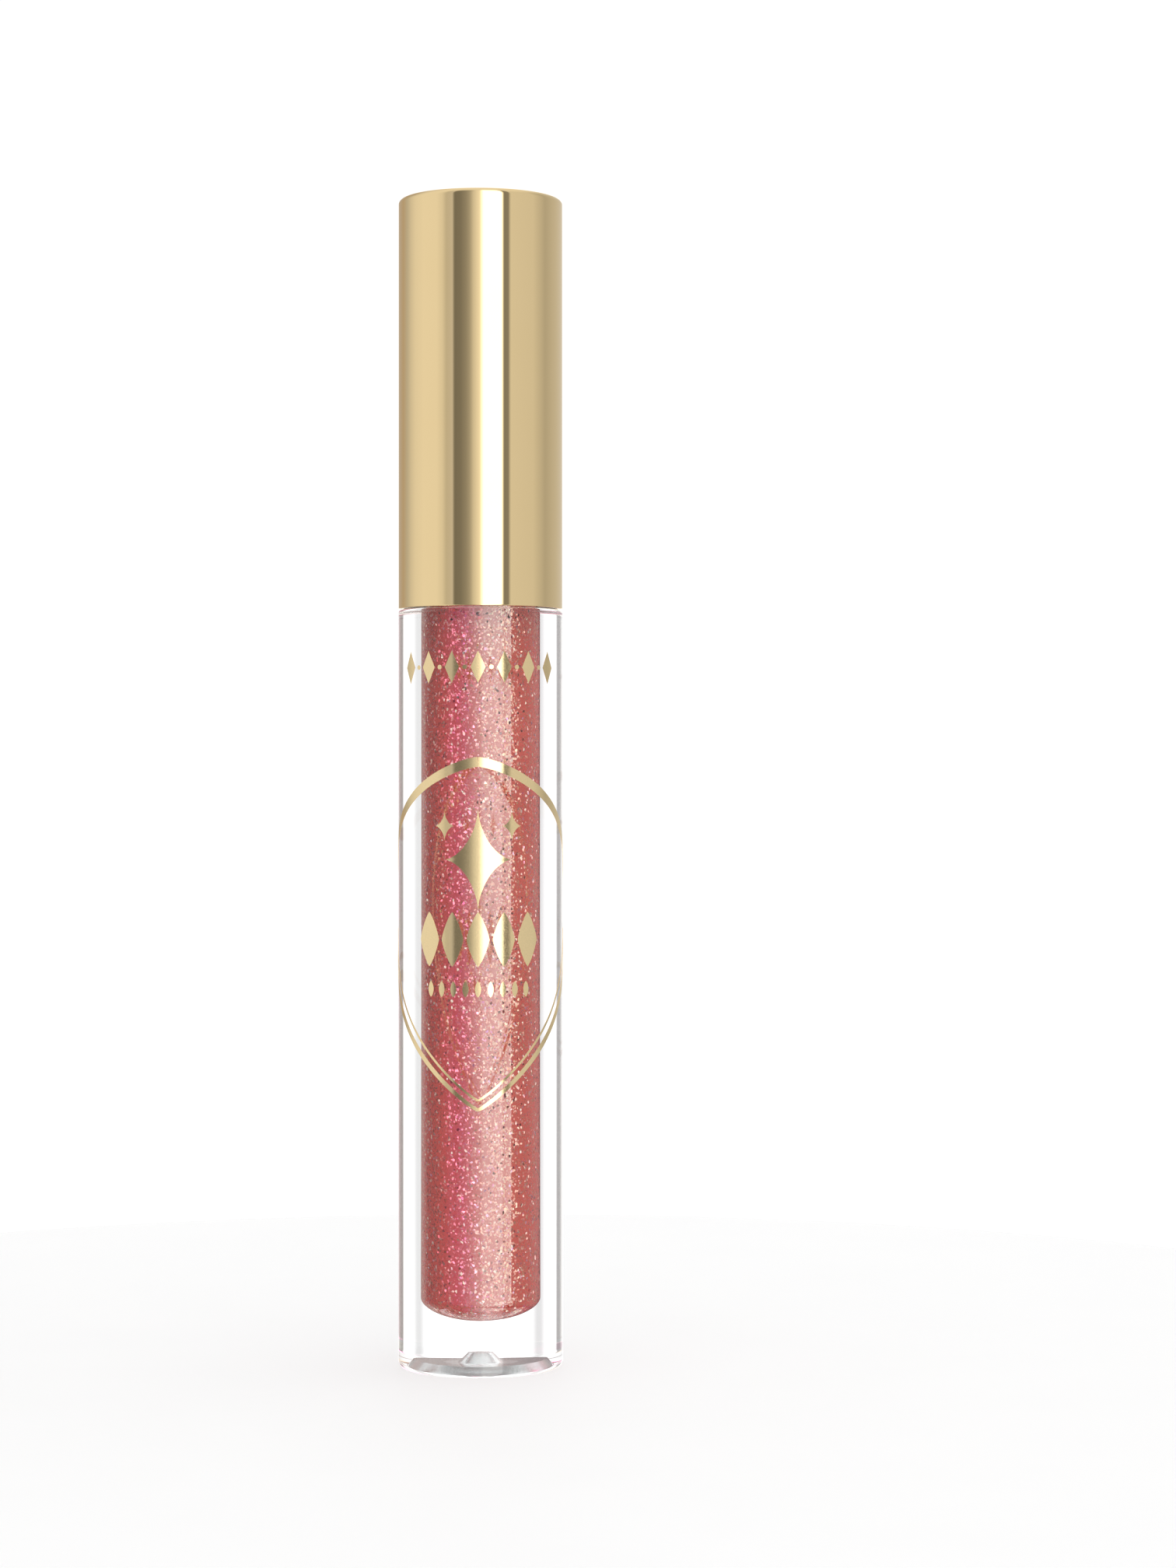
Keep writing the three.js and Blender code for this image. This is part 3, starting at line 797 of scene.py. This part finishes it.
def cap_liner():
    mouth, top = LINER_LOW.z, LINER_HIGH.z
    outer = OUTER_RADIUS - SHELL_WALL - FIT_GAP
    chamfer = 0.5 * MM
    edge = 0.12 * MM
    web_top = LINER_CEILING + 2.0 * MM
    boss_top = web_top + BOSS_LENGTH
    socket = ROD_HEAD_RADIUS + FIT_GAP
    upper = outer - 1.1 * MM
    profile = [
        (socket, LINER_CEILING),
        (LINER_ROOT_RADIUS, LINER_CEILING),
        (LINER_ROOT_RADIUS, mouth + chamfer),
        *arc(LINER_ROOT_RADIUS + chamfer, mouth + edge, edge, 225, 270, 4),
        *arc(outer - edge, mouth + edge, edge, -90, 0, 4),
        (outer, top - chamfer),
        (outer - chamfer, top),
        (upper, top),
        (upper, web_top),
        (BOSS_RADIUS, web_top),
        (BOSS_RADIUS, boss_top),
        (socket, boss_top),
    ]
    liner = revolve("cap_liner", profile, 128, closed=True)
    crest = LINER_ROOT_RADIUS - THREAD_DEPTH
    start = THREAD_START + THREAD_PITCH / 2
    unite(liner, thread_ridge("ridge", LINER_ROOT_RADIUS, crest, start))
    return unite(liner, liner_ribs(web_top, web_top + RIB_HEIGHT, BOSS_RADIUS, upper))


def gasket():
    outer, inner = SEAL_HIGH.x, 3.65 * MM
    edge = 0.3 * MM
    low, high = SEAL_LOW.z, SEAL_HIGH.z
    profile = [
        *arc(outer - edge, low + edge, edge, -90, 0, 6),
        *arc(outer - edge, high - edge, edge, 0, 90, 6),
        *arc(inner + edge, high - edge, edge, 90, 180, 6),
        *arc(inner + edge, low + edge, edge, 180, 270, 6),
    ]
    return revolve("gasket", profile, 96, closed=True)


def wand():
    collar_radius = ROD_HIGH.x
    collar_top = LINER_CEILING - FIT_GAP
    collar_bottom = collar_top - 1.0 * MM
    head = ROD_HEAD_RADIUS
    groove = head - 0.25 * MM
    end, top = ROD_LOW.z, ROD_HIGH.z
    end_round = ROD_END_ROUND
    socket, socket_top = 1.05 * MM, end + 6.05 * MM
    fillet = 0.25 * MM
    profile = [
        (0, socket_top),
        (socket, socket_top),
        (socket, end),
        *arc(ROD_RADIUS - end_round, end + end_round, end_round, -90, 0, 8),
        *arc(ROD_RADIUS + fillet, collar_bottom - fillet, fillet, 180, 90, 6),
        *arc(collar_radius - 0.1 * MM, collar_bottom + 0.1 * MM, 0.1 * MM, -90, 0, 4),
        (collar_radius, collar_top),
        (head, collar_top),
    ]
    for i in range(1, 4):
        bottom = LINER_CEILING + i * 1.9 * MM
        groove_top = bottom + 0.8 * MM
        profile += [(head, bottom), (groove, bottom), (groove, groove_top), (head, groove_top)]
    profile += [(head, top - end_round), (head - end_round, top), (0, top)]
    return revolve("wand", profile, 96)


# ---- Applicator tip -----------------------------------------------------------------------------

def lean_tip(points):
    """Leans and narrows round-tip points as the CAD tip does: further down, further towards +X."""
    points = np.array(points, float)
    share = np.clip((TIP_TOP - points[:, 2]) / TIP_LENGTH, 0, None)
    points[:, 0] = points[:, 0] * (1 - TIP_NARROWING_ACROSS * share) + TIP_LEAN * share
    points[:, 1] = points[:, 1] * (1 - TIP_NARROWING_DEEP * share)
    return points


def tip_radius(height, inset):
    """Radius of the round tip at a height, before it leans."""
    outer = TIP_RADIUS - inset
    low = TIP_TOP - TIP_LENGTH + inset
    if height < low + outer:
        return math.sqrt(max(0, outer ** 2 - (low + outer - height) ** 2))
    if height > TIP_TOP - TIP_SHOULDER_HEIGHT:
        share = (height - (TIP_TOP - TIP_SHOULDER_HEIGHT)) / TIP_SHOULDER_HEIGHT
        return outer - TIP_SHOULDER_DEPTH * (1 - math.sqrt(max(0, 1 - share ** 2)))
    return outer


def flock_sleeve():
    """The backing that the fibres stand on."""
    inset = FIBRE_LENGTH * 0.8
    low = TIP_TOP - TIP_LENGTH + inset
    heights = [low + (TIP_TOP - low) * (i / 60) ** 1.6 for i in range(61)]
    outer = [(tip_radius(z, inset), z) for z in heights]
    inner_radius = TIP_RADIUS - SLEEVE_THICKNESS
    inner = [
        (inner_radius * 0.98, TIP_TOP),
        *arc(0, low + inner_radius, inner_radius * 0.98, 0, -90, 10, inner_radius - 0.12 * MM),
    ]
    inner[-1] = (0, inner[-1][1])
    outer[0] = (0, low)
    vertices, faces = revolved(outer + inner, 96)
    return make_object("flock_sleeve", lean_tip(vertices), faces)


def surface_points(count, rng, inset):
    """Random points on the round tip with their outward directions, before it leans."""
    found, outward = [], []
    low = TIP_TOP - TIP_LENGTH + inset
    while len(found) < count:
        share = rng.uniform()
        height = low + (TIP_TOP - low) * share
        radius = tip_radius(height, inset)
        if rng.uniform() * TIP_RADIUS > radius:
            continue
        step = 0.01 * MM
        slope = (tip_radius(height + step, inset) - tip_radius(height - step, inset)) / (2 * step)
        angle = rng.uniform(0, 2 * math.pi)
        normal = np.array([math.cos(angle), math.sin(angle), -slope])
        found.append((radius * math.cos(angle), radius * math.sin(angle), height))
        outward.append(normal / np.linalg.norm(normal))
    return np.array(found), np.array(outward)


def flock_fibres():
    """Short tapered fibres in leaning tufts all over the sleeve."""
    rng = np.random.default_rng(11)
    roots, outward = surface_points(FIBRE_COUNT, rng, FIBRE_LENGTH * 0.85)
    tuft = np.floor(roots / TUFT_SIZE).astype(int)
    kind = (tuft[:, 0] * 73 + tuft[:, 1] * 179 + tuft[:, 2] * 283) % TUFT_KINDS
    tuft_lean = np.random.default_rng(5).normal(0, 0.42, (TUFT_KINDS, 3))[kind]
    own_lean = rng.normal(0, 0.16, (FIBRE_COUNT, 3))
    direction = outward + tuft_lean + own_lean + np.array([0, 0, -0.12])
    direction /= np.linalg.norm(direction, axis=1)[:, None]
    length = FIBRE_LENGTH * rng.uniform(0.75, 1.05, FIBRE_COUNT)
    side = np.cross(direction, rng.normal(size=(FIBRE_COUNT, 3)))
    side /= np.linalg.norm(side, axis=1)[:, None]
    other = np.cross(direction, side)
    vertices, faces = [], []
    for i in range(FIBRE_COUNT):
        first = len(vertices)
        for share, width in ((0.0, 1.0), (0.6, 0.8)):
            centre = roots[i] + direction[i] * length[i] * share
            for k in range(3):
                angle = 2 * math.pi * k / 3
                spoke = side[i] * math.cos(angle) + other[i] * math.sin(angle)
                vertices.append(centre + spoke * FIBRE_RADIUS * width)
        vertices.append(roots[i] + direction[i] * length[i])
        faces.append((first, first + 2, first + 1))
        for k in range(3):
            j = (k + 1) % 3
            faces.append((first + k, first + j, first + 3 + j, first + 3 + k))
            faces.append((first + 3 + k, first + 3 + j, first + 6))
    return make_object("flock_fibres", lean_tip(vertices), faces)


def gloss_on_tip():
    """Wet gloss on the end of the tip, thick and lumpy over the matted fibres."""
    segments, rows = 120, 56
    low = TIP_TOP - TIP_LENGTH + 0.02 * MM
    vertices, faces = [(0, 0, low)], []
    for r in range(1, rows + 1):
        share = r / rows
        for k in range(segments):
            angle = 2 * math.pi * k / segments
            ragged = 1 + 0.09 * math.sin(2 * angle + 1) + 0.05 * math.sin(5 * angle)
            ragged += 0.03 * math.sin(11 * angle)
            height = low + COAT_LENGTH * ragged * share ** 1.5
            lumps = (
                math.sin(5 * angle + height * 2600)
                + math.sin(9 * angle - height * 4100 + 2)
                + math.sin(14 * angle + height * 6300 + 4)
            )
            thin = max(0.0, (share - 0.85) / 0.15)
            inset = 0.05 * MM + 0.018 * MM * lumps * min(1, 4 * share) + 0.28 * MM * thin ** 2
            radius = tip_radius(height, inset)
            vertices.append((radius * math.cos(angle), radius * math.sin(angle), height))
    for k in range(segments):
        faces.append((0, 1 + (k + 1) % segments, 1 + k))
    for r in range(rows - 1):
        for k in range(segments):
            a, b = 1 + r * segments + k, 1 + r * segments + (k + 1) % segments
            faces.append((a, b, b + segments, a + segments))
    top = len(vertices)
    vertices.append((0, 0, low + COAT_LENGTH * 0.9))
    last = 1 + (rows - 1) * segments
    for k in range(segments):
        faces.append((last + k, last + (k + 1) % segments, top))
    return make_object("gloss_on_tip", lean_tip(vertices), faces, 60)


# ---- Camera, floor and light --------------------------------------------------------------------

def make_camera():
    """Level with the middle of the tube, which stands left of the centre of the picture."""
    data = bpy.data.cameras.new("camera")
    camera = bpy.data.objects.new("camera", data)
    data.sensor_width = 36
    data.lens = 79.2
    data.clip_start = 0.01
    data.clip_end = 10
    camera.location = (10.46 * MM, -336 * MM, 56.6 * MM)
    camera.rotation_euler = (math.pi / 2, 0, 0)
    bpy.context.scene.collection.objects.link(camera)
    bpy.context.scene.camera = camera


def make_floor():
    """A pale round table, just large enough to stand the tube on."""
    thickness, gap = 2 * MM, 0.01 * MM
    half = thickness / 2
    edge = arc(FLOOR_RADIUS, -half - gap, half, -90, 90, 8)
    profile = [(0, -thickness - gap), (FLOOR_RADIUS, -thickness - gap), *edge, (0, -gap)]
    floor = revolve("floor", profile, 128)
    material, nodes, shader, _ = new_material("pale_floor")
    grain = nodes.noise(nodes.place(), 60, 3)[0]
    tone = nodes.mix(grain, (0.93, 0.93, 0.93), (0.95, 0.95, 0.95))
    nodes.fill(shader, Base_Color=tone, Roughness=0.7, Specular_IOR_Level=0.2)
    floor.data.materials.append(material)
    floor.visible_transmission = False
    floor.visible_glossy = False


def around(degrees):
    """A ramp position for a direction round the tube: 0 towards the viewer's side, 90 to the right."""
    return 0.5 + degrees / 360


# What stands round the tube, as (degrees, brightness or colour) stops. The bright metal, the clear wall
# and the gloss behind the wall each have soft boxes and dark screens of their own. The gloss also has a
# raised lamp for its upturned flakes (GLINT_STUDIO) and a low neutral band for what the moulded base
# mirrors (BASE_STUDIO). SOFT_STUDIO is the even light that falls on everything matt.
METAL_STUDIO = [
    (-180, 1.3), (-172, 1.2), (-160, (0.50, 0.45, 0.41)), (-136, (0.49, 0.42, 0.34)), (-123, 0.53),
    (-112, 0.69), (-102, 0.80), (-85, 0.86), (-62, 0.85), (-53, 0.75), (-47, 0.57),
    (-37.5, (0.60, 0.60, 0.64)), (-36, 0.26),
    (-34, 0.20), (-26, 0.22), (-18, 0.31), (-13, 0.42), (-8, 0.68), (-2, 0.88), (1, 1.0),
    (6, 2.6), (31, 2.6), (33.5, 0.5), (35, 0.25), (41, 0.27), (43, 0.58), (44.5, 0.73),
    (80, 0.69), (104, 0.48), (124, 0.56), (163, 0.68), (172, 1.3),
]
CLEAR_STUDIO = [
    (-180, 1.25), (-150, 1.25), (-144, 0.80), (-140, 0.82), (-134, 1.25), (-118, 1.25), (-114, 0.28),
    (-103, 0.30), (-98, 0.9), (0, 1.1), (98, 0.9), (103, 0.26), (114, 0.22), (118, 1.25), (134, 1.25),
    (140, 0.82), (144, 0.80), (150, 1.25), (180, 1.25),
]
GLOSS_STUDIO = [
    (-180, (0.40, 0.30, 0.28)), (-166, (0.30, 0.18, 0.16)), (-150, (0.10, 0.02, 0.02)),
    (-125, (0.14, 0.02, 0.02)), (-105, (0.34, 0.06, 0.06)), (-85, (0.52, 0.12, 0.16)),
    (-62, (0.70, 0.22, 0.34)), (-38, (0.76, 0.36, 0.50)), (-12, (0.92, 0.72, 0.74)),
    (10, (1.05, 0.98, 0.92)), (30, (1.08, 1.04, 0.96)), (60, (1.30, 1.30, 1.20)),
    (79, (1.60, 1.58, 1.48)), (80.5, (0.42, 0.20, 0.15)), (112, (0.36, 0.17, 0.13)),
    (135, (0.36, 0.20, 0.17)), (155, (0.40, 0.28, 0.25)), (180, (0.40, 0.30, 0.28)),
]
GLINT_STUDIO = [
    (-180, (0.60, 0.42, 0.38)), (-130, (0.12, 0.03, 0.03)), (-112, (1.10, 0.28, 0.38)),
    (-92, (2.20, 0.75, 1.20)), (-50, (2.60, 1.20, 1.85)), (-14, (2.50, 2.10, 1.90)),
    (20, (1.60, 1.40, 1.15)), (60, (1.00, 0.80, 0.66)), (80, (0.42, 0.20, 0.15)),
    (135, (0.38, 0.19, 0.15)), (180, (0.60, 0.42, 0.38)),
]
BASE_STUDIO = [
    (-180, 0.95), (-170, 0.80), (-164, 0.45), (-132, 0.42), (-122, 1.15), (122, 1.15), (132, 0.42),
    (164, 0.45), (170, 0.80), (180, 0.95),
]
SOFT_STUDIO = [(-180, 0.90), (-130, 0.44), (-70, 0.42), (0, 1.06), (60, 1.20), (110, 1.18), (180, 0.90)]
BRIGHTEST = 2.6
BEHIND = 1.04  # brightness of the plain background
OVERHEAD = 1.35


def studio_ramp(nodes, direction, stops):
    def shade(value):
        return tuple(v / BRIGHTEST for v in value) if isinstance(value, tuple) else value / BRIGHTEST

    return nodes.ramp(direction, [(around(degrees), shade(value)) for degrees, value in stops])


def grey(level):
    return (level / BRIGHTEST,) * 3


def make_studio():
    """A white studio with soft boxes and dark screens stood round the tube."""
    world = bpy.data.worlds.new("studio")
    bpy.context.scene.world = world
    world.cycles.sampling_method = "NONE"
    nodes = Nodes(world)
    split = nodes.add("SeparateXYZ")
    nodes.link(nodes.add("TexCoord").outputs["Generated"], split.inputs[0])
    back = nodes.math("MULTIPLY", split.outputs[1], -1.0)
    angle = nodes.math("ARCTAN2", split.outputs[0], back)
    direction = nodes.math("ADD", nodes.math("DIVIDE", angle, 2 * math.pi), 0.5)
    rising = nodes.ramp(split.outputs[2], [(0.125, 0.0), (0.145, 1.0), (0.185, 1.0), (0.205, 0.0)])
    high = nodes.ramp(split.outputs[2], [(0.24, 0.0), (0.28, 1.0), (0.52, 1.0), (0.58, 0.0)])
    steep = nodes.ramp(split.outputs[2], [(0.6, 0.0), (0.9, 1.0)])
    path = nodes.add("LightPath")
    through_wall = nodes.math("GREATER_THAN", path.outputs["Transmission Depth"], 0.5)
    mirrored = nodes.math("GREATER_THAN", path.outputs["Glossy Depth"], 0.5)
    metal = nodes.mix(steep, studio_ramp(nodes, direction, METAL_STUDIO), grey(0.85))
    clear = studio_ramp(nodes, direction, CLEAR_STUDIO)
    gloss = studio_ramp(nodes, direction, GLOSS_STUDIO)
    inside = nodes.mix(rising, gloss, studio_ramp(nodes, direction, BASE_STUDIO))
    inside = nodes.mix(nodes.ramp(split.outputs[2], [(0.5, 0.0), (0.6, 1.0)]), inside, grey(1.1))
    inside = nodes.mix(high, inside, studio_ramp(nodes, direction, GLINT_STUDIO))
    seen = nodes.mix(through_wall, metal, nodes.mix(mirrored, clear, inside))
    soft = nodes.mix(steep, studio_ramp(nodes, direction, SOFT_STUDIO), grey(OVERHEAD))
    lit = nodes.mix(path.outputs["Is Diffuse Ray"], seen, soft)
    shown = nodes.mix(path.outputs["Is Camera Ray"], lit, grey(BEHIND))
    background = nodes.add("Background")
    nodes.link(shown, background.inputs["Color"])
    background.inputs["Strength"].default_value = BRIGHTEST
    output = nodes.add("OutputWorld")
    nodes.link(background.outputs[0], output.inputs["Surface"])
    bpy.context.scene.view_settings.view_transform = "Standard"


# ---- Assembly -----------------------------------------------------------------------------------

make_camera()
make_floor()
make_studio()

gold = gold_shell_material()
foil = foil_material()
rod_white = plain_plastic("rod_white", (0.86, 0.86, 0.87), (0.92, 0.92, 0.93), 0.22, 1500, 4e-6, 0.4)
wiper_white = plain_plastic("wiper_white", (0.82, 0.82, 0.80), (0.90, 0.90, 0.88), 0.4, 2500, 6e-6, 0.3)
liner_dark = plain_plastic("liner_dark", (0.030, 0.024, 0.023), (0.045, 0.036, 0.034), 0.4, 4000, 8e-6)
foam_white = plain_plastic("foam_white", (0.78, 0.77, 0.74), (0.86, 0.85, 0.82), 0.8, 9000, 3e-5)
core_white = plain_plastic("core_white", (0.80, 0.79, 0.78), (0.88, 0.87, 0.86), 0.35, 2500, 6e-6)
flock = flock_material()
deep_gloss = gloss_material(
    "deep_gloss", (0.47, 0.038, 0.026), (0.57, 0.058, 0.042), 0.12 * MM, (0.36, 0.14), 2.75
)
thin_gloss = gloss_material(
    "thin_gloss", (0.28, 0.022, 0.018), (0.38, 0.040, 0.032), 0.075 * MM, (0.12, 0.07), 1.5
)

place(clear_bottle(), "bottle", "clear_plastic", clear_material(), "bottle")
column = place(gloss_column(), "bottle", "shimmer_gloss", deep_gloss, "gloss_fill")
column.visible_glossy = False
place(neck_wiper(), "bottle", "natural_plastic", wiper_white, "wiper")
for foil_piece in (foil_outline(), foil_top_row(), foil_centre()):
    place(foil_piece, "bottle", "gold_foil", foil)
place(gasket(), "seal_ring", "seal_foam", foam_white, "seal_ring")
place(gold_shell(), "cap", "gold_metal", gold, "cap_shell")
place(cap_liner(), "cap", "dark_plastic", liner_dark, "inner_cap")
place(wand(), "cap", "rod_plastic", rod_white, "wand_rod")
place(flock_sleeve(), "cap", "pink_flock", flock, "applicator_flock")
place(flock_fibres(), "cap", "pink_flock", flock)
place(gloss_on_tip(), "cap", "shimmer_gloss", thin_gloss)
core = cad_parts["applicator_core"]
core.data.materials.clear()
core.data.materials.append(core_white)
